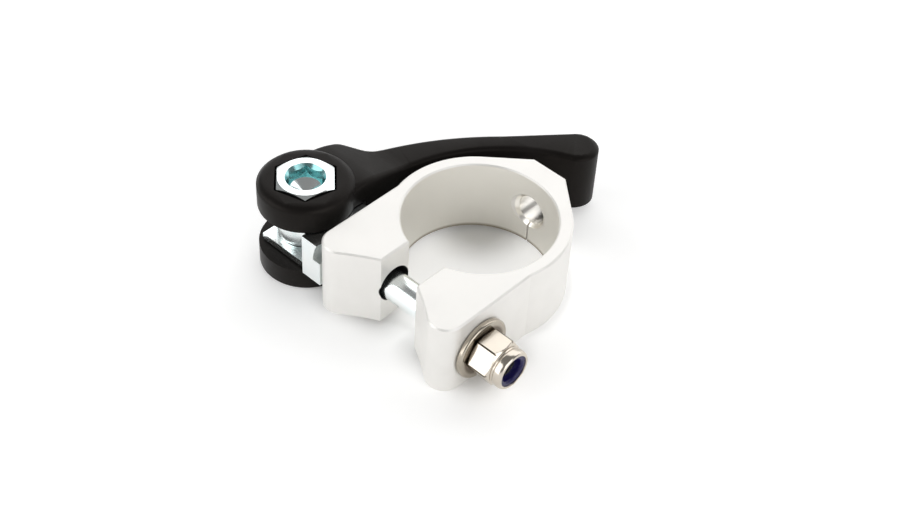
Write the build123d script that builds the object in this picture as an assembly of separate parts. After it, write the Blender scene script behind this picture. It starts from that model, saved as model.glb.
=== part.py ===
from build123d import *
import math
import os

# Quick-release seatpost clamp: a split collar drawn together by an eye bolt and a cam lever.
# Frame: origin at the centre of the bore, +Z along the seat tube, +X along the bolt towards
# the nut, +Y towards the boss opposite the slot. Lengths are millimetres, angles degrees.

# Collar
BORE_D = 28.6
COLLAR_H = 15.6
RING_WALL = 2.6
EDGE_BREAK = 0.3
LUG_STEP = 0.6
SLOT_W = 8.6
BOLT_REACH = 2.9
MOUTH_REACH = 3.4
MOUTH_ANGLE = 36.5
MOUTH_HOLLOW = 0.5
NOSE_R = 3.4
BOSS_RISE = 2.3
BOSS_W = 7.6
BOSS_HOLE_D = 6.0
BOSS_SINK_D = 7.2
RELIEF_GROOVE_W = 0.35
RELIEF_GROOVE_DEPTH = 0.6
CAM_SIDE_HOLE_D = 7.1
CAM_SIDE_HOLE_RISE = 0.6
NUT_SIDE_HOLE_D = 6.1

# Draw bolt, washer and self-locking nut
BOLT_D = 5.0
SHANK_D = 5.6
SHANK_INSET = 1.0
BOLT_SETTLE = 0.7
BOLT_END_CHAMFER = 0.5
EYE_D = 10.4
EYE_H = 4.7
EYE_CHAMFER = 0.5
WASHER_D = 11.8
WASHER_T = 1.2
WASHER_HOLE_D = 5.3
WASHER_EDGE = 0.3
FACE_GAP = 0.05
NUT_AF = 8.0
NUT_HEX_L = 4.7
NUT_L = 7.0
NUT_GROOVE_D = 7.0
NUT_GROOVE_L = 0.5
NUT_COLLAR_D = 7.7
NUT_BEVEL_L = 0.6
NUT_RIM = 0.4
NUT_LIP = 0.3
NYLON_L = 1.5
NYLON_D = 6.8
NYLON_BORE_D = 4.4
THREAD_CLEARANCE = 0.05
BOLT_END_GAP = 0.3

# Cam shaft, with an eccentric waist that carries the bolt's eye
PIVOT_STANDOFF = 11.05
CAM_THROW = 0.8
WAIST_D = 5.6
EYE_PULL_CLEARANCE = 0.25
UPPER_JOURNAL_D = 8.0
LOWER_JOURNAL_D = 4.0
JOURNAL_CLEARANCE = 0.05
HEAD_AF = 10.5
HEAD_FACE_D = 10.3
HEAD_L = 4.0
HEAD_PROUD = 0.4
HEAD_ANGLE = 16.7
HEAD_BEVEL_L = 0.5
SOCKET_AF = 6.1
SOCKET_DEPTH = 2.7
SOCKET_ENTRY_D = 7.6
SOCKET_ENTRY_L = 0.8
DRILL_D = 5.8
DRILL_POINT = 1.6
RING_D = 9.0
RING_T = 0.6
RING_GROOVE_D = 3.2
RING_MOUTH_W = 2.6

# Stirrup between the lever's eyes
ARM_T = 1.4
ARM_W = 12.3
ARM_END = 5.4
WEB_START = 6.4
WEB_W = 14.0
NOTCH_START = 9.3
NOTCH_TOP = 10.3
NOTCH_SILL = 0.7
STIRRUP_HOLE_D = 6.8
FORK_PLAY = 0.25
EYE_PLAY = 0.15

# Hexagons, and rims that are eased in two steps
HEX_ANGLE = 60.0
RIM_SOFTENING = 0.45
LEVEL_ANGLE = 25.0

# Lever
FORK_EYE_R = 9.0
FORK_H = 20.2
FORK_RIM = 1.0
NECK_H = 18.0
NECK_L = 9.2
NECK_SLOPE_L = 8.4
NECK_BEND_R = 14.0
HANDLE_H = 13.2
HANDLE_EDGE = 0.8
ARM_INSET = 7.7
ARM_BOW = 1.35
ARM_FILL = 1.4
HANDLE_SWEEP_R = 9.5
HANDLE_ANGLE = 74.0
HANDLE_END_R = 4.1
FLARE_ANGLE = 46.0
FLARE_T = 3.25
FLARE_R = 30.0
FILL_R = 20.0
VALLEY = (-0.6, 16.3)
VALLEY_R = 5.0
SHOULDER = (-5.6, 13.2)
SHOULDER_R = 3.2
EYE_FLANK = (-7.0, 4.0)
RECESS_PLAY = 0.4
RING_POCKET_D = 10.6
RING_POCKET_DEPTH = 2.3

# Worked out from the driving dimensions
bore_r = BORE_D / 2
ring_r = bore_r + RING_WALL
lug_x = ring_r - LUG_STEP
slot_x = SLOT_W / 2
bolt_y = -(bore_r + BOLT_REACH)
bolt_z = -BOLT_SETTLE
mouth_y = bolt_y - MOUTH_REACH
boss_y = ring_r + BOSS_RISE
pivot_x = -(lug_x + PIVOT_STANDOFF)
eye_x = pivot_x - CAM_THROW
washer_x = lug_x + FACE_GAP
nut_x = washer_x + WASHER_T + FACE_GAP
nut_end_x = nut_x + NUT_L
bolt_end_x = nut_end_x - NUT_LIP - NYLON_L - BOLT_END_GAP
arm_inner_z = BOLT_SETTLE + EYE_H / 2 + EYE_PLAY
arm_outer_z = arm_inner_z + ARM_T
fork_gap_z = arm_outer_z + FORK_PLAY
head_top_z = FORK_H / 2 + HEAD_PROUD
head_seat_z = head_top_z - HEAD_L
ring_pocket_z = -(FORK_H / 2 - RING_POCKET_DEPTH)
pivot = Location((pivot_x, bolt_y, 0))


def along_x(x, diameter, length, z=bolt_z):
    """Cylinder that starts at x and runs towards the nut, on the bolt's axis unless z is given."""
    return Location((x, bolt_y, z), (0, 90, 0)) * Cylinder(
        diameter / 2, length, align=(Align.CENTER, Align.CENTER, Align.MIN)
    )


def between(bottom_z, top_z, diameter):
    """Upright cylinder at the origin between two heights."""
    return Pos(0, 0, bottom_z) * Cylinder(
        diameter / 2, top_z - bottom_z, align=(Align.CENTER, Align.CENTER, Align.MIN)
    )


def hexagon(across_flats, turn=0):
    """Hexagon face given by its width across flats."""
    return RegularPolygon(across_flats / 2, 6, major_radius=False, rotation=turn)


def eased(body, width):
    """Breaks the rims of a body's level faces with a bevel that is softened towards those faces."""
    steepest = math.cos(math.radians(LEVEL_ANGLE))
    for step in (width, width * RIM_SOFTENING):
        level = ShapeList(f for f in body.faces() if abs(f.normal_at().Z) > steepest)
        body = chamfer(level.edges() - level.edges().filter_by(Axis.X), step)
    return body


def lug_face(side):
    """Plan of one lug: flat outer face, rounded nose and a hollow mouth splayed from the slot."""
    splay = math.radians(MOUTH_ANGLE)
    corner_y = mouth_y - (lug_x - slot_x) * math.tan(splay)
    hollow_x = (slot_x + lug_x) / 2 + MOUTH_HOLLOW * math.sin(splay)
    hollow_y = (mouth_y + corner_y) / 2 + MOUTH_HOLLOW * math.cos(splay)
    corner = (side * lug_x, corner_y)
    lip = (side * slot_x, mouth_y)
    walls = Polyline(lip, (side * slot_x, 0), (side * lug_x, 0), corner)
    mouth = ThreePointArc(corner, (side * hollow_x, hollow_y), lip)
    face = make_face([walls, mouth])
    nose = face.vertices().sort_by(Axis.Y)[0]
    return fillet(nose, NOSE_R)


def boss_face():
    """Plan of the boss: a flat whose flanks run down tangent to the ring."""
    half = BOSS_W / 2
    corner_distance = math.hypot(half, boss_y)
    tangent_angle = math.atan2(boss_y, half) - math.acos(ring_r / corner_distance)
    tangent_x = ring_r * math.cos(tangent_angle)
    tangent_y = ring_r * math.sin(tangent_angle)
    return make_face(
        Polyline(
            (0, 0),
            (tangent_x, tangent_y),
            (half, boss_y),
            (-half, boss_y),
            (-tangent_x, tangent_y),
            close=True,
        )
    )


def clamp_collar():
    """Extruded split ring with two lugs, bolt holes and a countersunk relief hole in the boss."""
    slot = Pos(0, -ring_r) * Rectangle(SLOT_W, 2 * ring_r)
    plan = Circle(ring_r) + boss_face() - slot
    plan = plan + lug_face(1) + lug_face(-1) - Circle(bore_r)
    body = extrude(plan, COLLAR_H / 2, both=True)
    rims = body.faces().sort_by(Axis.Z)[0].edges() + body.faces().sort_by(Axis.Z)[-1].edges()
    body = chamfer(rims, EDGE_BREAK)
    body -= along_x(-2 * lug_x, CAM_SIDE_HOLE_D, 2 * lug_x, z=bolt_z + CAM_SIDE_HOLE_RISE)
    body -= along_x(0, NUT_SIDE_HOLE_D, 2 * lug_x)
    sink_depth = (BOSS_SINK_D - BOSS_HOLE_D) / 2
    towards_boss = Location((0, bore_r - sink_depth, 0), (-90, 0, 0))
    bottom = (Align.CENTER, Align.CENTER, Align.MIN)
    body -= towards_boss * Cylinder(BOSS_HOLE_D / 2, 2 * RING_WALL + BOSS_RISE + sink_depth, align=bottom)
    body -= towards_boss * Cone(BOSS_SINK_D / 2 + sink_depth, BOSS_HOLE_D / 2, 2 * sink_depth, align=bottom)
    groove_y = bore_r + RELIEF_GROOVE_DEPTH
    groove = Box(RELIEF_GROOVE_W, bore_r, COLLAR_H, align=(Align.CENTER, Align.MAX, Align.MAX))
    return body - Pos(0, groove_y, 0) * groove


def eye_bolt():
    """Threaded rod with a thicker shank and a cross eye; the eye's hole is slotted across the pull."""
    eye = chamfer(Cylinder(EYE_D / 2, EYE_H).edges().filter_by(GeomType.CIRCLE), EYE_CHAMFER)
    rod = along_x(eye_x, BOLT_D, bolt_end_x - eye_x)
    rod = chamfer(rod.edges().sort_by(Axis.X)[-1], BOLT_END_CHAMFER)
    shank_x = pivot_x + WEB_START + SHANK_INSET
    shank = along_x(shank_x, SHANK_D, lug_x - SHANK_INSET - CAM_THROW - shank_x)
    hole_d = WAIST_D + 2 * EYE_PULL_CLEARANCE
    slot = Rot(0, 0, 90) * SlotCenterToCenter(2 * CAM_THROW, hole_d)
    hole = extrude(slot, EYE_H, both=True)
    at_eye = Location((eye_x, bolt_y, bolt_z))
    return at_eye * eye + rod + shank - at_eye * hole


def flat_washer():
    """Stamped washer under the nut, with its outer edge eased on the nut's side."""
    disc = along_x(washer_x, WASHER_D, WASHER_T)
    disc = chamfer(disc.edges().sort_by(Axis.X)[-1], WASHER_EDGE)
    return disc - along_x(washer_x, WASHER_HOLE_D, WASHER_T)


def on_bolt(x, shape):
    """Places a shape built upright at the origin so that it points along the bolt from x."""
    return Location((x, bolt_y, bolt_z), (0, 90, 0)) * shape


def lock_nut():
    """Hexagon nut with a groove and a crimped collar that holds the locking ring."""
    corner_d = NUT_AF / math.cos(math.radians(HEX_ANGLE / 2))
    envelope = between(0, NUT_HEX_L, corner_d)
    envelope = chamfer(envelope.edges().filter_by(GeomType.CIRCLE), NUT_BEVEL_L, (corner_d - NUT_AF) / 2)
    prism = extrude(hexagon(NUT_AF, HEX_ANGLE / 2), NUT_HEX_L) & envelope
    collar = between(NUT_HEX_L + NUT_GROOVE_L, NUT_L, NUT_COLLAR_D)
    collar = eased(collar, NUT_RIM)
    nut = prism + collar + between(0, NUT_L - NUT_LIP, NUT_GROOVE_D)
    nut -= between(0, NUT_L, BOLT_D + 2 * THREAD_CLEARANCE)
    nut -= between(NUT_L - NUT_LIP - NYLON_L, NUT_L - NUT_LIP, NYLON_D)
    nut -= between(NUT_L - NUT_LIP, NUT_L, NYLON_D - 2 * NUT_LIP)
    return on_bolt(nut_x, nut)


def nylon_insert():
    """Locking ring seated in the nut's collar."""
    ring = between(NUT_L - NUT_LIP - NYLON_L, NUT_L - NUT_LIP, NYLON_D - 2 * THREAD_CLEARANCE)
    ring -= between(0, NUT_L, NYLON_BORE_D)
    return on_bolt(nut_x, ring)


def cam_shaft():
    """Stepped shaft: hexagon head with a socket, upper journal, eccentric waist, lower journal."""
    corner_d = HEAD_AF / math.cos(math.radians(HEX_ANGLE / 2))
    envelope = between(head_seat_z, head_top_z, corner_d)
    envelope = chamfer(envelope.edges().sort_by(Axis.Z)[-1], HEAD_BEVEL_L, (corner_d - HEAD_FACE_D) / 2)
    head = Pos(0, 0, head_seat_z) * extrude(hexagon(HEAD_AF, HEAD_ANGLE), HEAD_L) & envelope
    ring_z = ring_pocket_z - RING_T
    shaft_end_z = ring_z - RING_T
    shaft = head + between(arm_inner_z, head_seat_z, UPPER_JOURNAL_D)
    shaft += Pos(-CAM_THROW, 0, 0) * between(-arm_inner_z, arm_inner_z, WAIST_D)
    lower = between(shaft_end_z, -arm_inner_z, LOWER_JOURNAL_D)
    lower = chamfer(lower.edges().sort_by(Axis.Z)[0], RING_T / 2)
    lower -= between(ring_z, ring_pocket_z, LOWER_JOURNAL_D) - between(ring_z, ring_pocket_z, RING_GROOVE_D)
    shaft += lower
    socket_floor_z = head_top_z - SOCKET_DEPTH
    shaft -= Pos(0, 0, socket_floor_z) * extrude(hexagon(SOCKET_AF, HEAD_ANGLE), SOCKET_DEPTH)
    entry = Cone(SOCKET_AF - SOCKET_ENTRY_D / 2, SOCKET_ENTRY_D / 2, 2 * SOCKET_ENTRY_L)
    shaft -= Pos(0, 0, head_top_z - SOCKET_ENTRY_L) * entry
    shaft -= Pos(0, 0, socket_floor_z - DRILL_POINT / 2) * Cone(0, DRILL_D / 2, DRILL_POINT)
    return pivot * shaft


def retaining_ring():
    """Open spring ring in the groove at the shaft's lower end."""
    ring = between(ring_pocket_z - RING_T, ring_pocket_z, RING_D)
    ring -= between(ring_pocket_z - RING_T, ring_pocket_z, RING_GROOVE_D)
    mouth = Pos(-RING_D / 2, 0, ring_pocket_z) * Box(RING_D, RING_MOUTH_W, 4 * RING_T)
    return pivot * (ring - mouth)


def stirrup():
    """Saddle that stands on the lug: two arms around the bolt's eye, joined by a notched web."""
    arm_l = ARM_END + PIVOT_STANDOFF
    arms = Pos(-ARM_END, 0, 0) * Box(
        arm_l, ARM_W, 2 * arm_outer_z, align=(Align.MIN, Align.CENTER, Align.CENTER)
    )
    arms -= Pos(-2 * ARM_END, 0, 0) * Box(
        2 * ARM_END + WEB_START, WEB_W, 2 * arm_inner_z, align=(Align.MIN, Align.CENTER, Align.CENTER)
    )
    web_l = PIVOT_STANDOFF - WEB_START
    web = Pos(WEB_START, 0, 0) * Box(
        web_l, WEB_W, 2 * arm_outer_z, align=(Align.MIN, Align.CENTER, Align.CENTER)
    )
    low = (NOTCH_START, NOTCH_SILL)
    high = (NOTCH_TOP, arm_outer_z)
    curve = TangentArc(low, high, tangent=(0, 1))
    sides = Polyline(high, (PIVOT_STANDOFF, arm_outer_z), (PIVOT_STANDOFF, NOTCH_SILL), low)
    notch = Plane.XZ * make_face([curve, sides])
    saddle = arms + web - extrude(notch, WEB_W, both=True)
    saddle -= between(0, 2 * arm_outer_z, UPPER_JOURNAL_D + 2 * JOURNAL_CLEARANCE)
    saddle -= between(-2 * arm_outer_z, 0, LOWER_JOURNAL_D + 2 * JOURNAL_CLEARANCE)
    return pivot * saddle - along_x(pivot_x, STIRRUP_HOLE_D, PIVOT_STANDOFF, z=bolt_z / 2)


def lever_plan():
    """Plan of neck, arm and handle: an inner sweep round the ring and a waisted, flared outer edge."""
    inner_x = pivot_x + ARM_INSET
    sweep_r = ring_r + HANDLE_SWEEP_R
    centre = Vector(inner_x + sweep_r, 0)
    hub = Vector(pivot_x, bolt_y)

    def on_sweep(angle, offset):
        return centre + Vector(-sweep_r - offset, 0).rotate(Axis.Z, -angle)

    root = Vector(inner_x, bolt_y)
    heel = Vector(inner_x, 0)
    inner_end = on_sweep(HANDLE_ANGLE, 0)
    tip = on_sweep(HANDLE_ANGLE, HANDLE_END_R)
    nose = tip + Vector(0, HANDLE_END_R).rotate(Axis.Z, -HANDLE_ANGLE)
    flare = on_sweep(FLARE_ANGLE, FLARE_T)
    reach = tip - flare
    tangent_l = math.sqrt(reach.length**2 - HANDLE_END_R**2)
    spread = math.degrees(math.atan2(HANDLE_END_R, tangent_l))
    tip_far = flare + reach.normalized().rotate(Axis.Z, spread) * tangent_l
    valley = hub + Vector(*VALLEY)
    shoulder = hub + Vector(*SHOULDER)
    flank = hub + Vector(*EYE_FLANK)
    bow = (valley - flare).normalized().rotate(Axis.Z, -90) * ARM_BOW
    face = make_face(
        [
            Polyline(root, heel),
            ThreePointArc(heel, on_sweep(HANDLE_ANGLE / 2, -ARM_FILL), inner_end),
            ThreePointArc(inner_end, nose, tip_far),
            Line(tip_far, flare),
            ThreePointArc(flare, (flare + valley) * 0.5 + bow, valley),
            Polyline(valley, shoulder, flank, hub, root),
        ]
    )
    rounds = (
        (flare, FLARE_R),
        (valley, VALLEY_R),
        (shoulder, SHOULDER_R),
        (heel, FILL_R),
        (inner_end, FILL_R),
    )
    for corner, radius in rounds:
        face = fillet(face.vertices().sort_by_distance(corner)[0], radius)
    return face


def lever_side():
    """Side outline of neck and handle, looking along the bolt: deep at the fork, slimmer beyond."""
    neck_y = bolt_y + NECK_L
    arm_y = neck_y + NECK_SLOPE_L
    end_y = 2 * ring_r
    half = Polyline(
        (bolt_y - FORK_EYE_R, 0),
        (bolt_y - FORK_EYE_R, NECK_H / 2),
        (neck_y, NECK_H / 2),
        (arm_y, HANDLE_H / 2),
        (end_y, HANDLE_H / 2),
        (end_y, 0),
        close=True,
    )
    face = make_face(half)
    for bend_y in (neck_y, arm_y):
        face = fillet(face.vertices().sort_by_distance((bend_y, NECK_H / 2))[0], NECK_BEND_R)
    return Plane.YZ * (face + mirror(face, Plane.XZ))


def lever():
    """Moulded lever: forked eyes on a rounded arm that sweeps round the collar."""
    arm = extrude(lever_plan(), FORK_H, both=True) & extrude(lever_side(), 4 * ring_r, both=True)
    arm = eased(arm, HANDLE_EDGE)
    eyes = eased(Cylinder(FORK_EYE_R, FORK_H), FORK_RIM)
    body = arm + pivot * eyes
    gap_r = math.hypot(ARM_INSET, WEB_W / 2) + 2 * FORK_PLAY
    body -= pivot * Cylinder(gap_r, 2 * fork_gap_z)
    recess = Pos(0, 0, head_seat_z) * extrude(hexagon(HEAD_AF + 2 * RECESS_PLAY, HEAD_ANGLE), FORK_H)
    body -= pivot * recess
    body -= pivot * between(0, FORK_H, UPPER_JOURNAL_D + 2 * JOURNAL_CLEARANCE)
    body -= pivot * between(-FORK_H, 0, LOWER_JOURNAL_D + 2 * JOURNAL_CLEARANCE)
    body -= pivot * between(-FORK_H, ring_pocket_z, RING_POCKET_D)
    return body


NODES = {
    "clamp_collar": clamp_collar,
    "stirrup": stirrup,
    "lever": lever,
    "cam_shaft": cam_shaft,
    "retaining_ring": retaining_ring,
    "eye_bolt": eye_bolt,
    "flat_washer": flat_washer,
    "lock_nut": lock_nut,
    "nylon_insert": nylon_insert,
}

os.makedirs("parts", exist_ok=True)
for name, make in NODES.items():
    export_step(make(), os.path.join("parts", name + ".step"))
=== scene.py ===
import logging
import math
from dataclasses import dataclass
from enum import Enum

import bpy
import numpy as np
from mathutils import Matrix, Vector


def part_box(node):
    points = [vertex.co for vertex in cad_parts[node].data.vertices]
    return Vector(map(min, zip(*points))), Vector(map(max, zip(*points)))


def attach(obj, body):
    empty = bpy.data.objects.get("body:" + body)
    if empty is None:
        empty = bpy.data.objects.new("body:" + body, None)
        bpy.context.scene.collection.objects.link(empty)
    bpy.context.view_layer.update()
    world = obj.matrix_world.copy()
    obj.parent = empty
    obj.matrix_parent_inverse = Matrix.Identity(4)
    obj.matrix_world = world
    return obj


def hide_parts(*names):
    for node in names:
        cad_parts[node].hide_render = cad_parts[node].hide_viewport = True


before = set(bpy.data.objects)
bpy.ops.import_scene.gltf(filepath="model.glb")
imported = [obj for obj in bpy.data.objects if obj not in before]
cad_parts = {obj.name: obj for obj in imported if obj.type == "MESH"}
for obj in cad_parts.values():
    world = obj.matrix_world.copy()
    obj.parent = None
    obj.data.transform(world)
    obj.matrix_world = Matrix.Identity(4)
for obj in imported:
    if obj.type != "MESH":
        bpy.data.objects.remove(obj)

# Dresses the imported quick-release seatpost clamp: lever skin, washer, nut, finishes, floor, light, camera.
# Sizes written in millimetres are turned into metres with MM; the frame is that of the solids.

LOG = logging.getLogger("seatpost_clamp")
IMAGE_WIDTH = 900
IMAGE_HEIGHT = 506
MM = 0.001

Pair = tuple[float, float]
Triple = tuple[float, float, float]
Colour = tuple[float, float, float, float]
Node = bpy.types.Node
Socket = bpy.types.NodeSocket
Group = bpy.types.NodeTree
Material = bpy.types.Material
Piece = bpy.types.Object

WHITE: Colour = (1.0, 1.0, 1.0, 1.0)
# Factors that drop the Z coordinate of a place.
FLAT: Triple = (1.0, 1.0, 0.0)
# Noise mostly lies between these values.
NOISE_SPAN: Pair = (0.3, 0.7)
HEXAGON_SIDES = 6
# Degrees past which an edge stays sharp.
SHARP_ANGLE = 40.0


class Body(Enum):
    """Bodies of the mechanism that a piece can ride on."""

    LEVER = "lever"
    DRAW_BOLT = "draw_bolt"
    NUT = "nut"


class Slot(Enum):
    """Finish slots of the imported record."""

    LEVER = "lever_plastic"
    STEEL = "nut_steel"
    NYLON = "nut_nylon"


class Axis(Enum):
    """Direction of a turned or drawn surface, with the turn that lays it on the pattern's Z axis."""

    ALONG_BOLT = (0.0, -math.pi / 2, 0.0)
    THROUGH_BOSS = (math.pi / 2, 0.0, 0.0)
    UPRIGHT = (0.0, 0.0, 0.0)


class Kind(Enum):
    """Types of a node group's sockets."""

    NUMBER = "NodeSocketFloat"
    VECTOR = "NodeSocketVector"
    COLOUR = "NodeSocketColor"


class Graph:
    """A node tree with short calls that add and join its nodes."""

    def __init__(self, tree: Group) -> None:
        """Keeps the tree that the nodes go into."""
        self.tree = tree

    def feed(self, socket: Socket, value: object) -> None:
        """Joins a socket to another one, or sets its plain value.

        Args:
            socket: Input that receives the value.
            value: Output socket to join, or a constant.
        """
        if isinstance(value, Socket):
            self.tree.links.new(value, socket)
        else:
            socket.default_value = value

    def add(self, kind: str, inputs: dict[str | int, object] | None = None, **options: object) -> Node:
        """Adds one node.

        Args:
            kind: Blender's name of the node type.
            inputs: Values or sockets for the node's inputs, by name or number.
            **options: Properties of the node itself.

        Returns:
            The new node.
        """
        node = self.tree.nodes.new(kind)
        for name, value in options.items():
            setattr(node, name, value)
        for key, value in (inputs or {}).items():
            self.feed(node.inputs[key], value)
        return node

    def math(self, operation: str, first: object, second: object = 0.0) -> Socket:
        """Adds a Math node and returns its result."""
        return self.add("ShaderNodeMath", {0: first, 1: second}, operation=operation).outputs[0]

    def vector(self, operation: str, first: Socket, second: Triple = (0.0, 0.0, 0.0)) -> Socket:
        """Adds a Vector Math node and returns its result, a number for a length or distance."""
        node = self.add("ShaderNodeVectorMath", {0: first, 1: second}, operation=operation)
        return node.outputs["Value" if operation in ("LENGTH", "DISTANCE") else "Vector"]

    def part(self, place: Socket, side: str) -> Socket:
        """Returns one coordinate of a place."""
        return self.add("ShaderNodeSeparateXYZ", {0: place}).outputs[side]

    def noise(self, inputs: dict[str, object], **options: object) -> Socket:
        """Adds a noise texture and returns its value."""
        return self.add("ShaderNodeTexNoise", inputs, **options).outputs["Fac"]

    def lay(self, place: Socket, centre: Triple, axis: Axis) -> Socket:
        """Moves a pattern's middle to a centre, turns it along an axis and returns the place on it."""
        moved = self.vector("SUBTRACT", place, centre)
        return self.add("ShaderNodeMapping", {"Vector": moved, "Rotation": axis.value}).outputs["Vector"]

    def blend(self, share: Socket, first: object, second: object) -> Socket:
        """Mixes two colours by a share and returns the colour."""
        node = self.add("ShaderNodeMix", {0: share, 6: first, 7: second}, data_type="RGBA")
        return node.outputs[2]

    def ramp(self, value: Socket, reach: Pair, top: float = 1.0) -> Socket:
        """Rises softly from nought to a top value over a reach of the given value and returns it."""
        limits = {"Value": value, "From Min": reach[0], "From Max": reach[1], "To Max": top}
        return self.add("ShaderNodeMapRange", limits, interpolation_type="SMOOTHSTEP").outputs["Result"]

    def slope(self, value: Socket, reach: Pair) -> Socket:
        """Rises straight from nought to one over a reach of the given value and returns it."""
        limits = {"Value": value, "From Min": reach[0], "From Max": reach[1]}
        return self.add("ShaderNodeMapRange", limits).outputs["Result"]

    def shift(self, share: Socket, first: object, second: object) -> Socket:
        """Goes from one number to another by a share and returns the number."""
        ends = {"Value": share, "To Min": first, "To Max": second}
        return self.add("ShaderNodeMapRange", ends).outputs["Result"]

    def spread(self, value: Socket, low: float = 0.0, high: float = 1.0) -> Socket:
        """Maps the span where noise mostly lies onto a range and returns the number."""
        limits = {"From Min": NOISE_SPAN[0], "From Max": NOISE_SPAN[1], "To Min": low, "To Max": high}
        return self.add("ShaderNodeMapRange", {"Value": value, **limits}).outputs["Result"]


class Effects:
    """Shader node groups that several finishes share, each built once."""

    coarse_scale: float = 0.31
    coarse_height: float = 0.6
    slow_scale: float = 0.035
    drawn_squeeze: Triple = (1.0, 1.0, 0.03)

    def __init__(self) -> None:
        """Builds the groups."""
        self.grain = self._grain()
        self.turning = self._turning()
        self.drawing = self._drawing()
        self.drift = self._drift()

    def place(self, graph: Graph, group: Group, inputs: dict[str, object]) -> Node:
        """Puts one of the groups into a material with its own values."""
        return graph.add("ShaderNodeGroup", inputs, node_tree=group)

    def radius(self, graph: Graph, local: Socket) -> Socket:
        """Returns the distance of a place from the pattern's Z axis."""
        return self.place(graph, self.turning, {"Vector": local}).outputs["Radius"]

    def _open(
        self, name: str, inputs: dict[str, Kind], outputs: dict[str, Kind]
    ) -> tuple[Graph, Node, Node]:
        """Starts a group with named sockets.

        Args:
            name: Name of the group.
            inputs: Socket type of each input, by name.
            outputs: Socket type of each output, by name.

        Returns:
            The group's graph, its input node and its output node.
        """
        tree = bpy.data.node_groups.new(name, "ShaderNodeTree")
        for label, kind in inputs.items():
            tree.interface.new_socket(label, in_out="INPUT", socket_type=kind.value)
        for label, kind in outputs.items():
            tree.interface.new_socket(label, in_out="OUTPUT", socket_type=kind.value)
        graph = Graph(tree)
        return graph, graph.add("NodeGroupInput"), graph.add("NodeGroupOutput")

    def _grain(self) -> Group:
        """Blasted or spark-eroded skin: two sizes of noise added as a height, and a slow tone.

        Returns:
            The node group.
        """
        inputs = {"Vector": Kind.VECTOR, "Scale": Kind.NUMBER}
        outputs = {"Height": Kind.NUMBER, "Tone": Kind.NUMBER}
        graph, given, out = self._open("skin_grain", inputs, outputs)
        place, scale = given.outputs["Vector"], given.outputs["Scale"]
        wide = graph.math("MULTIPLY", scale, self.coarse_scale)
        slow = graph.math("MULTIPLY", scale, self.slow_scale)
        fine = graph.noise({"Vector": place, "Scale": scale, "Detail": 2.0})
        coarse = graph.noise({"Vector": place, "Scale": wide, "Detail": 1.0})
        tone = graph.noise({"Vector": place, "Scale": slow, "Detail": 3.0})
        height = graph.math("ADD", fine, graph.math("MULTIPLY", coarse, self.coarse_height))
        graph.feed(out.inputs["Height"], height)
        graph.feed(out.inputs["Tone"], tone)
        return graph.tree

    def _turning(self) -> Group:
        """Turned marks, as rings: noise of the distance from the pattern's Z axis plus that along it.

        Returns:
            The node group, which also gives the distance from the axis.
        """
        inputs = {"Vector": Kind.VECTOR, "Scale": Kind.NUMBER}
        outputs = {"Height": Kind.NUMBER, "Radius": Kind.NUMBER}
        graph, given, out = self._open("turning_marks", inputs, outputs)
        place, scale = given.outputs["Vector"], given.outputs["Scale"]
        radius = graph.vector("LENGTH", graph.vector("MULTIPLY", place, FLAT))
        pace = graph.math("ADD", radius, graph.part(place, "Z"))
        rings = graph.noise({"W": pace, "Scale": scale, "Detail": 2.0}, noise_dimensions="1D")
        graph.feed(out.inputs["Height"], rings)
        graph.feed(out.inputs["Radius"], radius)
        return graph.tree

    def _drawing(self) -> Group:
        """Drawn lines: noise stretched along the pattern's Z axis.

        Returns:
            The node group.
        """
        inputs = {"Vector": Kind.VECTOR, "Scale": Kind.NUMBER}
        graph, given, out = self._open("drawn_lines", inputs, {"Height": Kind.NUMBER})
        squeezed = graph.vector("MULTIPLY", given.outputs["Vector"], self.drawn_squeeze)
        lines = graph.noise({"Vector": squeezed, "Scale": given.outputs["Scale"], "Detail": 2.0})
        graph.feed(out.inputs["Height"], lines)
        return graph.tree

    def _drift(self) -> Group:
        """Slow change of colour over a plated or polished surface, between a cool and a warm tone.

        Returns:
            The node group.
        """
        tones = {"Cool": Kind.COLOUR, "Warm": Kind.COLOUR}
        inputs = {"Vector": Kind.VECTOR, "Scale": Kind.NUMBER, **tones}
        graph, given, out = self._open("colour_drift", inputs, {"Colour": Kind.COLOUR})
        place, scale = given.outputs["Vector"], given.outputs["Scale"]
        share = graph.spread(graph.noise({"Vector": place, "Scale": scale, "Detail": 3.0}))
        graph.feed(out.inputs["Colour"], graph.blend(share, given.outputs["Cool"], given.outputs["Warm"]))
        return graph.tree


@dataclass(frozen=True)
class Finish:
    """What every finish has: a name, plain values of its shader and the depth of its relief."""

    name: str
    metallic: float
    roughness: Pair
    relief: float

    def start(self) -> tuple[Material, Graph, Node, Socket]:
        """Starts the material.

        Returns:
            The material, its graph, its Principled BSDF and the object coordinates.
        """
        material = bpy.data.materials.new(self.name)
        material.use_nodes = True
        graph = Graph(material.node_tree)
        shader = material.node_tree.nodes["Principled BSDF"]
        shader.inputs["Metallic"].default_value = self.metallic
        return material, graph, shader, graph.add("ShaderNodeTexCoord").outputs["Object"]

    def emboss(self, graph: Graph, shader: Node, height: Socket) -> None:
        """Gives the shader a relief from a height that varies over the surface."""
        bump = graph.add("ShaderNodeBump", {"Strength": 1.0, "Distance": self.relief, "Height": height})
        graph.feed(shader.inputs["Normal"], bump.outputs["Normal"])


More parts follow.
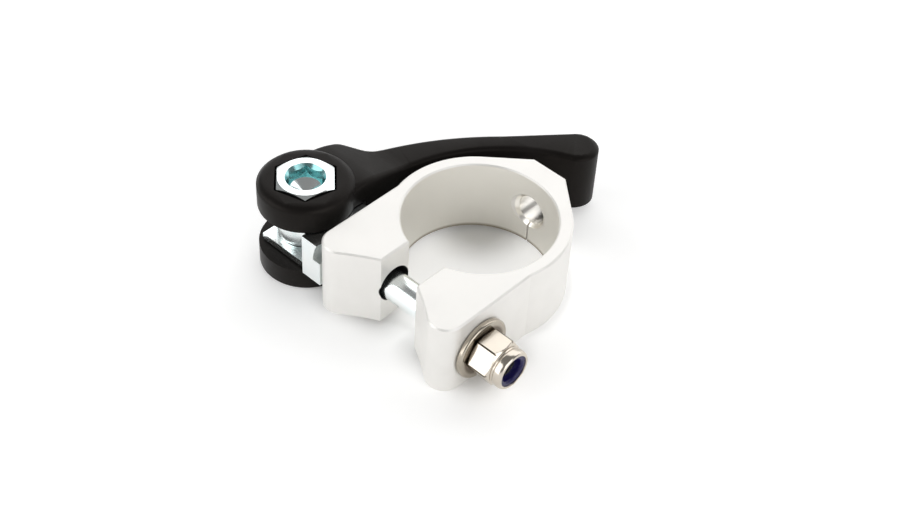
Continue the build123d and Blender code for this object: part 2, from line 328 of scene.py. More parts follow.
@dataclass(frozen=True)
class BlastedAluminium(Finish):
    """Silver anodised aluminium with a fine blasted skin, a bright cut hole in the boss, and painted shade:
    a darker, warmer bore wall with a painted contact shadow at its lower rim, and a near-black bolt hole in
    the lug.
    """

    pale: Colour = (0.90, 0.886, 0.858, 1.0)
    shade: Colour = (0.865, 0.85, 0.82, 1.0)
    # Painted shade: the bore's wall is coloured darker and warmer than the outside.
    bore_shade: Colour = (0.85, 0.83, 0.775, 1.0)
    # Painted contact shadow along the bore's lower rim.
    rim_shadow: Colour = (0.30, 0.255, 0.19, 1.0)
    drilled: Colour = (0.99, 0.965, 0.91, 1.0)
    # Painted shade: the lug's bolt hole is coloured near-black.
    hole_shade: Colour = (0.035, 0.036, 0.036, 1.0)
    grain: float = 5200.0
    bore_radius: float = 14.36 * MM
    # Heights over which the painted contact shadow at the bore's lower rim sets in.
    rim_shadow_reach: Pair = (-6.6 * MM, -7.5 * MM)
    boss_radius: float = 3.6 * MM
    boss_end: float = 19.1 * MM
    drilled_metallic: float = 1.0
    drilled_roughness: float = 0.29
    lug_centre: Triple = (0.0, -17.2 * MM, -0.1 * MM)
    lug_edge: Pair = (3.63 * MM, 3.55 * MM)

    def make(self, effects: Effects) -> Material:
        """Builds the material: grain as relief, tone in colour and gloss, the cut hole's tone, and painted
        shade in the bore, along its lower rim and in the lug's bolt hole.

        Args:
            effects: Shared node groups.

        Returns:
            The collar's material.
        """
        material, graph, shader, place = self.start()
        skin = effects.place(graph, effects.grain, {"Vector": place, "Scale": self.grain}).outputs
        drilled = self._in_boss(effects, graph, place)
        # Painted shade: the bore's wall is darker and warmer, with a painted contact shadow towards its
        # lower rim.
        inner = graph.blend(self._at_rim(graph, place), self.bore_shade, self.rim_shadow)
        colour = graph.blend(graph.spread(skin["Tone"]), self.shade, self.pale)
        colour = graph.blend(self._in_bore(effects, graph, place), colour, inner)
        colour = graph.blend(drilled, colour, self.drilled)
        # Painted shade: near-black in the lug's bolt hole.
        colour = graph.blend(self._in_lug(effects, graph, place), colour, self.hole_shade)
        gloss = graph.spread(skin["Tone"], *self.roughness)
        graph.feed(shader.inputs["Base Color"], colour)
        graph.feed(shader.inputs["Metallic"], graph.shift(drilled, self.metallic, self.drilled_metallic))
        graph.feed(shader.inputs["Roughness"], graph.shift(drilled, gloss, self.drilled_roughness))
        self.emboss(graph, shader, skin["Height"])
        return material

    def _in_bore(self, effects: Effects, graph: Graph, place: Socket) -> Socket:
        """One on the bore's wall, which lies within a radius of the upright axis, else nought; shade is
        painted there.
        """
        return graph.math("LESS_THAN", effects.radius(graph, place), self.bore_radius)

    def _at_rim(self, graph: Graph, place: Socket) -> Socket:
        """Rises from nought to one towards the bore's lower rim, where a contact shadow is painted."""
        return graph.ramp(graph.part(place, "Z"), self.rim_shadow_reach)

    def _in_boss(self, effects: Effects, graph: Graph, place: Socket) -> Socket:
        """One in the boss's hole, which lies within a radius of its axis and short of its face, else nought.

        Args:
            effects: Shared node groups.
            graph: Graph of the material.
            place: Object coordinates.

        Returns:
            The mask.
        """
        local = graph.lay(place, (0.0, 0.0, 0.0), Axis.THROUGH_BOSS)
        near = graph.math("LESS_THAN", effects.radius(graph, local), self.boss_radius)
        return graph.math("MULTIPLY", near, graph.math("LESS_THAN", graph.part(place, "Y"), self.boss_end))

    def _in_lug(self, effects: Effects, graph: Graph, place: Socket) -> Socket:
        """One in the bolt hole of the lever's lug, which lies on the side of negative X, else nought; there
        shade is painted near-black.

        Args:
            effects: Shared node groups.
            graph: Graph of the material.
            place: Object coordinates.

        Returns:
            The mask.
        """
        local = graph.lay(place, self.lug_centre, Axis.ALONG_BOLT)
        near = graph.slope(effects.radius(graph, local), self.lug_edge)
        return graph.math("MULTIPLY", near, graph.math("LESS_THAN", graph.part(place, "X"), 0.0))


@dataclass(frozen=True)
class MouldedPlastic(Finish):
    """Glass-filled nylon or other moulded plastic with an eroded skin."""

    deep: Colour = (0.0062, 0.0054, 0.005, 1.0)
    worn: Colour = (0.009, 0.008, 0.0075, 1.0)
    grain: float = 3200.0
    specular: float = 0.5
    sheen: Colour = WHITE

    def make(self, effects: Effects) -> Material:
        """Builds the material: skin grain as relief, tone in colour and gloss.

        Args:
            effects: Shared node groups.

        Returns:
            The plastic's material.
        """
        material, graph, shader, place = self.start()
        shader.inputs["Specular IOR Level"].default_value = self.specular
        shader.inputs["Specular Tint"].default_value = self.sheen
        skin = effects.place(graph, effects.grain, {"Vector": place, "Scale": self.grain}).outputs
        colour = graph.blend(graph.spread(skin["Tone"]), self.deep, self.worn)
        graph.feed(shader.inputs["Base Color"], colour)
        graph.feed(shader.inputs["Roughness"], graph.spread(skin["Tone"], *self.roughness))
        self.emboss(graph, shader, skin["Height"])
        return material


@dataclass(frozen=True)
class PlatedSteel(Finish):
    """Plated or polished steel whose tool marks run round an axis and along it.

    Between two radii the colour deepens: on a socket's walls the plating pools there, and on a washer's face
    next to the nut it is painted shade and dark reflection.
    """

    cool: Colour = (0.88, 0.95, 0.955, 1.0)
    warm: Colour = (0.955, 0.975, 0.965, 1.0)
    # Deeper colour between two radii: pooled plating in a socket, painted shade and dark reflection on a
    # washer's face.
    pooled_plating_and_shade: Colour = (0.27, 0.52, 0.53, 1.0)
    pool_and_shade: Pair = (0.0, 0.0)
    pool_and_shade_edge: float = 0.06 * MM
    drift: float = 260.0
    marks: float = 7000.0
    axis: Axis = Axis.UPRIGHT
    centre: Triple = (0.0, 0.0, 0.0)

    def make(self, effects: Effects) -> Material:
        """Builds the material: drifting colour, and the mean of turned and drawn marks as relief and gloss.

        Args:
            effects: Shared node groups.

        Returns:
            The steel's material.
        """
        material, graph, shader, place = self.start()
        local = graph.lay(place, self.centre, self.axis)
        tones = {"Vector": place, "Scale": self.drift, "Cool": self.cool, "Warm": self.warm}
        film = effects.place(graph, effects.drift, tones).outputs["Colour"]
        rings = effects.place(graph, effects.turning, {"Vector": local, "Scale": self.marks}).outputs
        lines = effects.place(graph, effects.drawing, {"Vector": local, "Scale": self.marks}).outputs
        mean = graph.math("MULTIPLY", graph.math("ADD", rings["Height"], lines["Height"]), 0.5)
        graph.feed(shader.inputs["Base Color"], self.tint(graph, local, rings["Radius"], film))
        graph.feed(shader.inputs["Roughness"], graph.spread(mean, *self.roughness))
        self.emboss(graph, shader, mean)
        return material

    def tint(self, graph: Graph, local: Socket, radius: Socket, film: Socket) -> Socket:
        """Deepens the colour between the two radii: pooled plating in a socket, painted shade and dark
        reflection on a washer.

        Args:
            graph: Graph of the material.
            local: Place on the pattern, whose Z axis is the piece's own.
            radius: Distance from that axis.
            film: Colour of the plating.

        Returns:
            The colour of the surface.
        """
        middle, reach = sum(self.pool_and_shade) / 2, (self.pool_and_shade[1] - self.pool_and_shade[0]) / 2
        off = graph.math("ABSOLUTE", graph.math("SUBTRACT", radius, middle))
        return graph.blend(graph.slope(off, (reach, reach + self.pool_and_shade_edge)), self.pooled_plating_and_shade, film)


@dataclass(frozen=True)
class EdgedSteel(PlatedSteel):
    """Plated steel of a hexagon nut, with a dark reflection painted where two flats meet."""

    # Painted dark reflection along the hexagon's edges.
    edge_reflection: Colour = (0.09, 0.07, 0.05, 1.0)
    line_reach: Pair = (0.05, 0.14)
    line_foot: Pair = (4.3 * MM, 4.1 * MM)

    def tint(self, graph: Graph, local: Socket, radius: Socket, film: Socket) -> Socket:
        """Paints a dark reflection on the hexagon's edges: there the sine of three times the angle round the
        axis is nought.

        Args:
            graph: Graph of the material.
            local: Place on the pattern, whose Z axis is the piece's own.
            radius: Distance from that axis.
            film: Colour of the plating.

        Returns:
            The colour of the surface.
        """
        angle = graph.math("ARCTAN2", graph.part(local, "X"), graph.part(local, "Y"))
        wave = graph.math("SINE", graph.math("MULTIPLY", angle, HEXAGON_SIDES / 2))
        off_edge = graph.ramp(graph.math("ABSOLUTE", wave), self.line_reach)
        off_side = graph.ramp(radius, self.line_foot)
        return graph.blend(graph.math("MAXIMUM", off_edge, off_side), self.edge_reflection, film)


def ring_faces(rows: int, columns: int) -> np.ndarray:
    """Quads of a grid that closes on itself both ways, as on a ring.

    Args:
        rows: Points along the profile.
        columns: Points round the axis.

    Returns:
        Vertex numbers of each quad, one row each.
    """
    row, column = np.meshgrid(np.arange(rows), np.arange(columns), indexing="ij")
    below, beside = (row + 1) % rows, (column + 1) % columns
    start, end = row * columns, below * columns
    corners = (start + column, start + beside, end + beside, end + column)
    return np.stack([c.ravel() for c in corners], axis=1)


def outward(points: np.ndarray, faces: np.ndarray) -> np.ndarray:
    """Turns the quads of a closed surface outwards by the sign of its volume, a sum of tetrahedra.

    Args:
        points: Vertex places.
        faces: Vertex numbers of each quad.

    Returns:
        The faces, reversed where the volume came out negative.
    """
    first, second, third, fourth = (points[faces[:, k]] for k in range(4))
    volume = np.einsum("ij,ij->", first, np.cross(second, third))
    volume += np.einsum("ij,ij->", first, np.cross(third, fourth))
    return faces if volume > 0 else faces[:, ::-1]


def new_piece(name: str, points: np.ndarray, faces: np.ndarray, sharp: float = SHARP_ANGLE) -> Piece:
    """Makes a smooth-shaded object at the origin with edges kept sharp past an angle.

    Args:
        name: Name of the piece.
        points: Vertex places in metres.
        faces: Vertex numbers of each face.
        sharp: Angle in degrees past which an edge stays sharp.

    Returns:
        The new object.
    """
    mesh = bpy.data.meshes.new(name)
    mesh.from_pydata(points.tolist(), [], faces.tolist())
    mesh.shade_smooth()
    mesh.set_sharp_from_angle(angle=math.radians(sharp))
    piece = bpy.data.objects.new(name, mesh)
    bpy.context.scene.collection.objects.link(piece)
    return piece


def dress(piece: Piece, material: Material) -> None:
    """Gives a piece one finish through its material slots.

    Args:
        piece: New piece or node.
        material: Its finish.
    """
    if not piece.material_slots:
        piece.data.materials.append(material)
    piece.material_slots[0].material = material


def bend(start: Pair, corner: Pair, end: Pair, count: int) -> np.ndarray:
    """Quarter round between two points: the centre of an ellipse plus cosine and sine shares of its legs.

    Args:
        start: First point of the profile.
        corner: Corner that the round cuts.
        end: Last point of the profile.
        count: Number of points.

    Returns:
        Points of the round, one row each.
    """
    turn = np.linspace(0.0, math.pi / 2, count)[:, None]
    first, middle, last = (np.array(p) for p in (start, corner, end))
    centre = first + last - middle
    return centre + (first - centre) * np.cos(turn) + (last - centre) * np.sin(turn)


def sector_angles(count: int, crowding: float = 0.8) -> np.ndarray:
    """Angles that crowd towards six corners: an even angle less a share of the sine of its sixfold.

    Args:
        count: Number of angles, a multiple of six.
        crowding: Share of the spacing that is taken off at a corner.

    Returns:
        The angles in radians.
    """
    even = np.arange(count) * (2 * math.pi / count)
    return even - crowding * np.sin(HEXAGON_SIDES * even) / HEXAGON_SIDES


def soft_hexagon(angle: np.ndarray, flat: float, hardness: float) -> np.ndarray:
    """Radius of a hexagon with eased corners.

    It is half the width across flats over the root of the summed powers of the cosines from the six flats.

    Args:
        angle: Angles in radians, with corners at nought and each sixth of a turn.
        flat: Half the width across flats.
        hardness: Power and root; a larger one gives sharper corners.

    Returns:
        Radius at each angle.
    """
    flats = (np.arange(HEXAGON_SIDES) + 0.5) * (2 * math.pi / HEXAGON_SIDES)
    cosines = np.maximum(np.cos(angle[:, None] - flats[None, :]), 0.0)
    return flat / np.sum(cosines**hardness, axis=1) ** (1 / hardness)


@dataclass(frozen=True)
class NodeBox:
    """Box of a node on the bolt's axis: its start and length along X, its middle and its outer sizes."""

    start: float
    length: float
    middle: Pair
    width: float
    height: float

    @classmethod
    def read(cls, node: str) -> "NodeBox":
        """Reads the box from the frame.

        Args:
            node: Name of the node.

        Returns:
            The box of the node.
        """
        low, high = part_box(node)
        middle = ((low.y + high.y) / 2, (low.z + high.z) / 2)
        return cls(low.x, high.x - low.x, middle, high.y - low.y, high.z - low.z)

    def turned(self, profile: np.ndarray, radii: np.ndarray) -> np.ndarray:
        """Carries a profile round the bolt's axis: each radius times cosine and sine of the angle.

        Args:
            profile: Distance of each profile point from the start of the box, along the axis.
            radii: Radius of each profile point at each angle.

        Returns:
            Vertex places, one ring of them for each profile point.
        """
        along = np.broadcast_to((self.start + profile)[:, None], radii.shape)
        angle = sector_angles(radii.shape[1])
        across = self.middle[0] + radii * np.cos(angle)
        up = self.middle[1] + radii * np.sin(angle)
        return np.stack([along, across, up], axis=-1).reshape(-1, 3)


class Finishes:
    """Materials of the clamp, with tool marks that run round the bolt or round the cam shaft."""

    def __init__(self, effects: Effects) -> None:
        """Builds each material.

        Args:
            effects: Shared node groups.
        """
        low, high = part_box("cam_shaft")
        pivot = ((low.x + high.x) / 2, (low.y + high.y) / 2, 0.0)
        along = {"axis": Axis.ALONG_BOLT, "centre": (0.0, *NodeBox.read("lock_nut").middle)}
        upright = {"axis": Axis.UPRIGHT, "centre": pivot}
        self.aluminium = BlastedAluminium(
            "blasted_aluminium", metallic=0.55, roughness=(0.44, 0.54), relief=6e-6
        ).make(effects)
        self.plastic = MouldedPlastic(
            "moulded_black", metallic=0.0, roughness=(0.36, 0.48), relief=1.6e-5,
            specular=0.115, sheen=(1.0, 0.9, 0.82, 1.0),
        ).make(effects)
        self.zinc_along = PlatedSteel(
            "zinc_drawn", metallic=1.0, roughness=(0.16, 0.28), relief=1.5e-6, **along
        ).make(effects)
        self.zinc_upright = PlatedSteel(
            "zinc_turned", metallic=1.0, roughness=(0.14, 0.26), relief=1.5e-6,
            pool_and_shade=(2.95 * MM, 3.72 * MM), **upright,
        ).make(effects)
        self.nut_steel = EdgedSteel(
            "bright_steel", metallic=1.0, roughness=(0.12, 0.24), relief=1.5e-6,
            cool=(0.59, 0.54, 0.47, 1.0), warm=(0.65, 0.59, 0.51, 1.0), **along,
        ).make(effects)
        # Painted shade and dark reflection: the washer's face is darker out to 4.6 mm from the bolt's axis,
        # next to the nut.
        self.washer_steel = PlatedSteel(
            "dull_steel", metallic=1.0, roughness=(0.16, 0.3), relief=1.5e-6,
            cool=(0.40, 0.36, 0.30, 1.0), warm=(0.48, 0.43, 0.36, 1.0), pooled_plating_and_shade=(0.15, 0.12, 0.09, 1.0),
            pool_and_shade=(0.0, 4.6 * MM), pool_and_shade_edge=0.5 * MM, **along,
        ).make(effects)
        self.nylon = MouldedPlastic(
            "navy_nylon", metallic=0.0, roughness=(0.2, 0.32), relief=6e-6,
            deep=(0.006, 0.004, 0.05, 1.0), worn=(0.012, 0.008, 0.085, 1.0), specular=0.3,
        ).make(effects)


@dataclass
class Hardware:
    """Washer, self-locking nut and locking ring on the bolt's threaded end.

    Each is a closed profile carried round the bolt's axis. A profile point has a distance along the axis
    and a radius, and the fields that end in points say how finely each round is divided.
    """

    finishes: Finishes
    columns: int = 240
    washer_bore: float = 2.65 * MM
    washer_round: float = 0.42 * MM
    washer_back: Pair = (0.3 * MM, 0.45 * MM)
    washer_points: tuple[int, int] = (7, 9)
    nut_bore: float = 2.55 * MM
    nut_sharp: float = 32.0
    edge_hardness: float = 40.0
    hexagon: float = 4.7 * MM
    face_share: float = 0.95
    foot_bevel: float = 0.45 * MM
    head_bevel: float = 0.62 * MM
    bevel_points: int = 9
    groove: float = 3.5 * MM
    groove_end: float = 5.15 * MM
    neck_round: float = 0.2 * MM
    neck_points: int = 5
    roll: float = 3.85 * MM
    swell: Pair = (0.1 * MM, 0.5 * MM)
    swell_points: int = 9
    crown_round: float = 0.8 * MM
    crown_points: int = 14
    lip: float = 3.1 * MM
    lip_depth: float = 0.3 * MM
    lip_round: Pair = (0.18 * MM, 0.15 * MM)
    lip_points: int = 6
    seat: float = 3.4 * MM
    seat_depth: float = 1.8 * MM
    ring_bore: float = 2.2 * MM
    ring_slope: Pair = (0.55 * MM, 0.6 * MM)
    ring_points: int = 10

    def washer(self) -> Piece:
        """Stamped washer whose outer edges are rolled.

        Returns:
            The piece that stands for the plain washer.
        """
        box = NodeBox.read("flat_washer")
        edge, end, ease = box.width / 2, box.length, self.washer_round
        rise, inset = self.washer_back
        back_points, front_points = self.washer_points
        back = bend((0.0, edge - inset), (0.0, edge), (rise, edge), back_points)
        front = bend((end - ease, edge), (end, edge), (end, edge - ease), front_points)
        hole = np.array([(end, self.washer_bore), (0.0, self.washer_bore)])
        profile = np.concatenate([back, front, hole])
        piece = self._carried("washer_face", box, profile, self._circles(profile), SHARP_ANGLE)
        return self._fit(piece, "flat_washer", Body.DRAW_BOLT, self.finishes.washer_steel)

    def nut(self) -> Piece:
        """Hexagon nut with a rolled collar.

        The profile runs from the bore over the hexagon and the groove to the collar's lip and back. Over the
        hexagon the radius is the smaller of the hexagon's own and of the bevel's cone.

        Returns:
            The piece that stands for the plain nut.
        """
        box = NodeBox.read("lock_nut")
        flat, end = box.height / 2, box.length
        sides = self._nut_sides(flat, box.width / 2)
        profile = np.concatenate([sides, self._nut_collar(end), self._nut_pocket(end)])
        radii = self._circles(profile)
        hexagon = soft_hexagon(sector_angles(self.columns), flat, self.edge_hardness)
        radii[: len(sides)] = np.minimum(radii[: len(sides)], hexagon)
        piece = self._carried("nut_shell", box, profile, radii, self.nut_sharp)
        return self._fit(piece, "lock_nut", Body.NUT, self.finishes.nut_steel)

    def insert(self) -> Piece:
        """Locking ring whose inner edge is rounded.

        Returns:
            The piece that stands for the plain ring.
        """
        box = NodeBox.read("nylon_insert")
        edge, end, bore = box.width / 2, box.length, self.ring_bore
        width, slope = self.ring_slope
        mouth = bend((end, bore + width), (end, bore), (end - slope, bore), self.ring_points)
        rest = np.array([(0.0, bore), (0.0, edge), (end, edge)])
        profile = np.concatenate([mouth, rest])
        piece = self._carried("locking_ring", box, profile, self._circles(profile), SHARP_ANGLE)
        return self._fit(piece, "nylon_insert", Body.NUT, self.finishes.nylon)

    def _nut_sides(self, flat: float, corner: float) -> np.ndarray:
        """Bevel cones at the hexagon's foot and head: the radius is linear in the distance along the axis.

        Args:
            flat: Half the width across flats.
            corner: Half the width across corners.

        Returns:
            Profile points, one row each.
        """
        face = flat * self.face_share
        rise = np.linspace(0.0, 1.0, self.bevel_points)
        fall = rise[::-1]
        foot = np.stack([rise * self.foot_bevel, face + rise * (corner - face)], axis=1)
        head = np.stack([self.hexagon - fall * self.head_bevel, face + fall * (corner - face)], axis=1)
        return np.concatenate([foot, head])

    def _nut_collar(self, end: float) -> np.ndarray:
        """Groove behind the hexagon and the rolled collar, a chain of quarter rounds up to its lip.

        Args:
            end: Length of the nut.

        Returns:
            Profile points, one row each.
        """
        hexagon, groove, turn, roll, lip = self.hexagon, self.groove, self.groove_end, self.roll, self.lip
        before, after = self.swell
        width, depth = self.lip_round
        neck_start, neck_end = (hexagon, groove + self.neck_round), (hexagon + self.neck_round, groove)
        neck = bend(neck_start, (hexagon, groove), neck_end, self.neck_points)
        swell = bend((turn - before, groove), (turn, roll), (turn + after, roll), self.swell_points)
        crown = bend((end - self.crown_round, roll), (end, roll), (end, lip + width), self.crown_points)
        inner = bend((end, lip + width), (end, lip), (end - depth, lip), self.lip_points)
        return np.concatenate([neck, swell, crown, inner[1:]])

    def _nut_pocket(self, end: float) -> np.ndarray:
        """Pocket that holds the locking ring, and the bore.

        Args:
            end: Length of the nut.

        Returns:
            Profile points, one row each.
        """
        lip_back, seat_back = end - self.lip_depth, end - self.seat_depth
        pocket = [(lip_back, self.lip), (lip_back, self.seat), (seat_back, self.seat)]
        return np.array(pocket + [(seat_back, self.nut_bore), (0.0, self.nut_bore)])

    def _circles(self, profile: np.ndarray) -> np.ndarray:
        """Repeats the radius of each profile point at every angle."""
        return np.repeat(profile[:, 1:], self.columns, axis=1)

    def _carried(
        self, name: str, box: NodeBox, profile: np.ndarray, radii: np.ndarray, sharp: float
    ) -> Piece:
        """Makes a piece from a closed profile that is carried round the bolt's axis.

        Args:
            name: Name of the piece.
            box: Box of the node that it stands for.
            profile: Profile points, one row each.
            radii: Radius of each profile point at each angle.
            sharp: Angle in degrees past which an edge stays sharp.

        Returns:
            The new piece.
        """
        points = box.turned(profile[:, 0], radii)
        faces = outward(points, ring_faces(len(profile), self.columns))
        return new_piece(name, points, faces, sharp)

    def _fit(self, piece: Piece, node: str, body: Body, finish: Material) -> Piece:
        """Dresses a piece, lets it stand for a node and ride on a body.

        Args:
            piece: New piece.
            node: Node that it stands for.
            body: Body that it rides on.
            finish: Its material.

        Returns:
            The same piece.
        """
        dress(piece, finish)
        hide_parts(node)
        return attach(piece, body.value)


@dataclass
class Lever:
    """Moulded cam lever: a merged skin of the solid whose bevelled rims are shaded round."""

    finishes: Finishes
    node: str = "lever"
    merge: float = 1e-7
    sharp: float = 50.0

    def skin(self) -> Piece:
        """Merges the node's loose triangles by their rounded places and weights the normals by face area.

        Returns:
            The piece that stands for the lever's node.
        """
        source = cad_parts[self.node].data
        places = np.empty(3 * len(source.vertices))
        source.vertices.foreach_get("co", places)
        places = places.reshape(-1, 3)
        corners = np.empty(len(source.loops), dtype=np.int64)
        source.loops.foreach_get("vertex_index", corners)
        keys = np.round(places / self.merge).astype(np.int64)
        _, first, number = np.unique(keys, axis=0, return_index=True, return_inverse=True)
        faces = number.reshape(-1)[corners].reshape(-1, 3)
        whole = np.all(faces != np.roll(faces, 1, axis=1), axis=1)
        piece = new_piece("lever_skin", places[first], faces[whole], self.sharp)
        piece.modifiers.new("rounded_rims", "WEIGHTED_NORMAL").keep_sharp = True
        dress(piece, self.finishes.plastic)
        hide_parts(self.node)
        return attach(piece, Body.LEVER.value)


@dataclass
class CollarAndShaft:
    """Collar, stirrup, cam shaft, spring ring and eye bolt, which keep the solids' own meshes."""

    finishes: Finishes

    def dress_nodes(self) -> list[Piece]:
        """Gives each of these nodes its finish.

        Returns:
            The dressed nodes.
        """
        finishes = {
            "clamp_collar": self.finishes.aluminium,
            "stirrup": self.finishes.zinc_along,
            "cam_shaft": self.finishes.zinc_upright,
            "retaining_ring": self.finishes.zinc_upright,
            "eye_bolt": self.finishes.zinc_along,
        }
        for node, finish in finishes.items():
            dress(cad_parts[node], finish)
        return [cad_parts[node] for node in finishes]


@dataclass(frozen=True)
class Softbox:
    """Soft lamp that faces the part: brightness, where white is one, and size and place in metres."""

    name: str
    brightness: float
    width: float
    height: float
    place: Triple

    def hang(self) -> None:
        """Puts the lamp up: its power is brightness times pi times its area."""
        lamp = bpy.data.lights.new(self.name, "AREA")
        lamp.shape = "RECTANGLE"
        lamp.energy = self.brightness * math.pi * self.width * self.height
        lamp.size, lamp.size_y = self.width, self.height
        holder = bpy.data.objects.new(self.name, lamp)
        holder.location = self.place
        holder.rotation_euler = (-Vector(self.place)).to_track_quat("-Z", "Y").to_euler()
        bpy.context.scene.collection.objects.link(holder)


@dataclass
class Studio:
    """Pale floor, soft light and the camera of the photograph.

    Lifts are strengths of the light that the floor gives to what looks at it, where one is white. The feet
    and the camera's place are in millimetres, its angles in degrees, its lens and principal point in pixels.
    """

    eye_foot: Pair = (-27.35, -17.2)
    lug_foot: Pair = (14.0, -23.0)
    boss_foot: Pair = (6.0, 18.0)
    floor_reach: float = 4.0
    floor_colour: Colour = (0.92, 0.92, 0.915, 1.0)
    floor_roughness: float = 0.9
    near_lift: float = 0.33
    lugs_middle: Triple = (0.0, -14.4 * MM, 0.0)
    lugs_apart: Triple = (11.2 * MM, 0.0, 0.0)
    lugs_half: Triple = (5.2 * MM, 4.4 * MM, 1.0)
    lugs_reach: Pair = (0.0, 8.0 * MM)
    ring_wall: Pair = (16.0 * MM, 19.0 * MM)
    bore_lift: float = 0.40
    bore_back: Triple = (-10.0 * MM, 12.0 * MM, 0.0)
    bore_reach: Pair = (3.0 * MM, 13.0 * MM)
    bore_fade: Pair = (21.0 * MM, 13.0 * MM)
    far_lift: float = 0.8
    far_reach: Pair = (0.3, 0.6)
    surround: float = 0.24
    skyline: Pair = (0.25, 0.12)
    softboxes: tuple[Softbox, ...] = (
        Softbox("back_softbox", 1.42, 1.9, 0.8, (-0.28, 0.58, 0.50)),
        Softbox("front_softbox", 2.0, 0.75, 0.75, (-0.36, -0.69, 0.29)),
        Softbox("side_softbox", 1.95, 0.75, 0.75, (0.76, -0.10, 0.28)),
    )
    camera_place: Triple = (134.598, -160.912, 200.628)
    azimuth: float = 42.684
    elevation: float = 44.216
    roll: float = 2.419
    focal_pixels: float = 1585.66
    principal: Pair = (421.5, 258.5)
    sensor: float = 36.0
    clip: Pair = (0.01, 20.0)

    def floor(self) -> None:
        """Lays a plane through the lower eye's foot and two feet of the collar, linear in X and Y."""
        eye_z, collar_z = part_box("lever")[0].z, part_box("clamp_collar")[0].z
        feet = np.array([self.eye_foot, self.lug_foot, self.boss_foot]) * MM
        heights = np.array([eye_z, collar_z, collar_z])
        slope = np.linalg.solve(np.column_stack([feet, np.ones(3)]), heights)
        corners = np.array([(-1, -1), (1, -1), (1, 1), (-1, 1)]) * self.floor_reach
        points = np.column_stack([corners, corners @ slope[:2] + slope[2]])
        floor = new_piece("studio_floor", points, np.array([[0, 1, 2, 3]]))
        dress(floor, self._floor_finish())

    def _floor_finish(self) -> Material:
        """White floor: plain diffuse, and brighter for what looks straight at it.

        Returns:
            The floor's material.
        """
        material = bpy.data.materials.new("studio_white")
        material.use_nodes = True
        graph = Graph(material.node_tree)
        shader = material.node_tree.nodes["Principled BSDF"]
        shader.inputs["Roughness"].default_value = self.floor_roughness
        shader.inputs["Specular IOR Level"].default_value = 0.0
        shader.inputs["Base Color"].default_value = self.floor_colour
        shader.inputs["Emission Color"].default_value = WHITE
        glow = graph.math("MULTIPLY", self._seen(graph), self._lift(graph))
        graph.feed(shader.inputs["Emission Strength"], glow)
        return material

    def _lift(self, graph: Graph) -> Socket:
        """Light that the floor adds, the largest of three ramps of the flat distance.

        One runs out from the boxes under the two lugs, one forwards from the bore's back, and one lifts the
        far floor that no lamp reaches.

        Args:
            graph: Graph of the floor's material.

        Returns:
            The strength of the light.
        """
        flat = graph.vector("MULTIPLY", graph.add("ShaderNodeTexCoord").outputs["Object"], FLAT)
        middle = graph.vector("LENGTH", flat)
        sides = graph.vector("ABSOLUTE", graph.vector("SUBTRACT", flat, self.lugs_middle))
        lug = graph.vector("ABSOLUTE", graph.vector("SUBTRACT", sides, self.lugs_apart))
        past = graph.vector("MAXIMUM", graph.vector("SUBTRACT", lug, self.lugs_half))
        near = graph.ramp(graph.vector("LENGTH", past), self.lugs_reach, self.near_lift)
        bore = graph.ramp(graph.vector("DISTANCE", flat, self.bore_back), self.bore_reach, self.bore_lift)
        outer = graph.math("MULTIPLY", near, graph.ramp(middle, self.ring_wall))
        inner = graph.math("MULTIPLY", bore, graph.ramp(middle, self.bore_fade))
        far = graph.ramp(middle, self.far_reach, self.far_lift)
        return graph.math("MAXIMUM", graph.math("MAXIMUM", inner, outer), far)

    def _seen(self, graph: Graph) -> Socket:
        """One for rays that show the background, straight or in gloss and glass, else nought.

        Args:
            graph: Graph of the floor's material or of the world.

        Returns:
            The mask.
        """
        path = graph.add("ShaderNodeLightPath").outputs
        shown = graph.math("MAXIMUM", path["Is Camera Ray"], path["Is Glossy Ray"])
        return graph.math("MAXIMUM", shown, path["Is Transmission Ray"])

    def light(self) -> None:
        """Even surroundings, white at the skyline where they are seen, and the soft lamps."""
        world = bpy.data.worlds.new("studio_surround")
        world.use_nodes = True
        bpy.context.scene.world = world
        graph = Graph(world.node_tree)
        ground = world.node_tree.nodes["Background"]
        ground.inputs["Color"].default_value = WHITE
        height = graph.part(graph.add("ShaderNodeTexCoord").outputs["Generated"], "Z")
        low = graph.ramp(height, self.skyline, 1.0 - self.surround)
        white = graph.math("MULTIPLY", low, self._seen(graph))
        graph.feed(ground.inputs["Strength"], graph.math("ADD", white, self.surround))
        for softbox in self.softboxes:
            softbox.hang()

    def camera(self) -> None:
        """Camera of the photograph: turned by azimuth and elevation, then rolled about its line of sight."""
        turn, rise, roll = (math.radians(a) for a in (self.azimuth, self.elevation, self.roll))
        back = Vector((math.sin(turn) * math.cos(rise), -math.cos(turn) * math.cos(rise), math.sin(rise)))
        level = Vector((math.cos(turn), math.sin(turn), 0.0))
        upright = back.cross(level)
        right = level * math.cos(roll) + upright * math.sin(roll)
        up = upright * math.cos(roll) - level * math.sin(roll)
        data = bpy.data.cameras.new("photo_camera")
        data.sensor_width = self.sensor
        data.lens = self.focal_pixels * self.sensor / IMAGE_WIDTH
        data.shift_x = (IMAGE_WIDTH / 2 - self.principal[0]) / IMAGE_WIDTH
        data.shift_y = (self.principal[1] - IMAGE_HEIGHT / 2) / IMAGE_WIDTH
        data.clip_start, data.clip_end = self.clip
        camera = bpy.data.objects.new("photo_camera", data)
        matrix = Matrix((right, up, back)).transposed().to_4x4()
        matrix.translation = Vector(self.camera_place) * MM
        camera.matrix_world = matrix
        bpy.context.scene.collection.objects.link(camera)
        bpy.context.scene.camera = camera


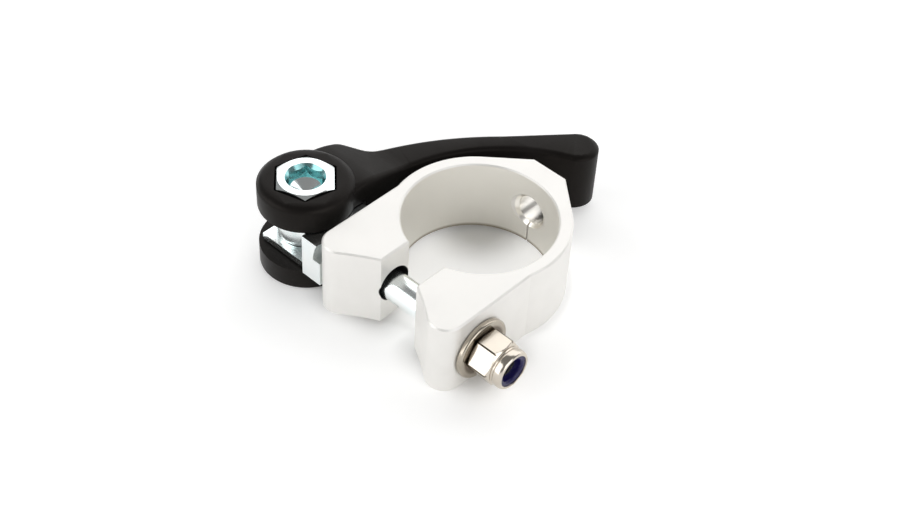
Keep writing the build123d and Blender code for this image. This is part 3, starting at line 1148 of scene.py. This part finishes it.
def main() -> None:
    """Builds the finishes, the pieces and the studio in order, and reports each piece."""
    logging.basicConfig(level=logging.INFO)
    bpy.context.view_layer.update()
    bpy.context.scene.view_settings.view_transform = "Standard"
    finishes = Finishes(Effects())
    hardware = Hardware(finishes)
    pieces = CollarAndShaft(finishes).dress_nodes()
    pieces += [Lever(finishes).skin(), hardware.washer(), hardware.nut(), hardware.insert()]
    for piece in pieces:
        finish = piece.material_slots[0].material
        LOG.info("%s: %d faces, %s", piece.name, len(piece.data.polygons), finish.name)
    studio = Studio()
    studio.floor()
    studio.light()
    studio.camera()


if __name__ == "__main__":
    main()
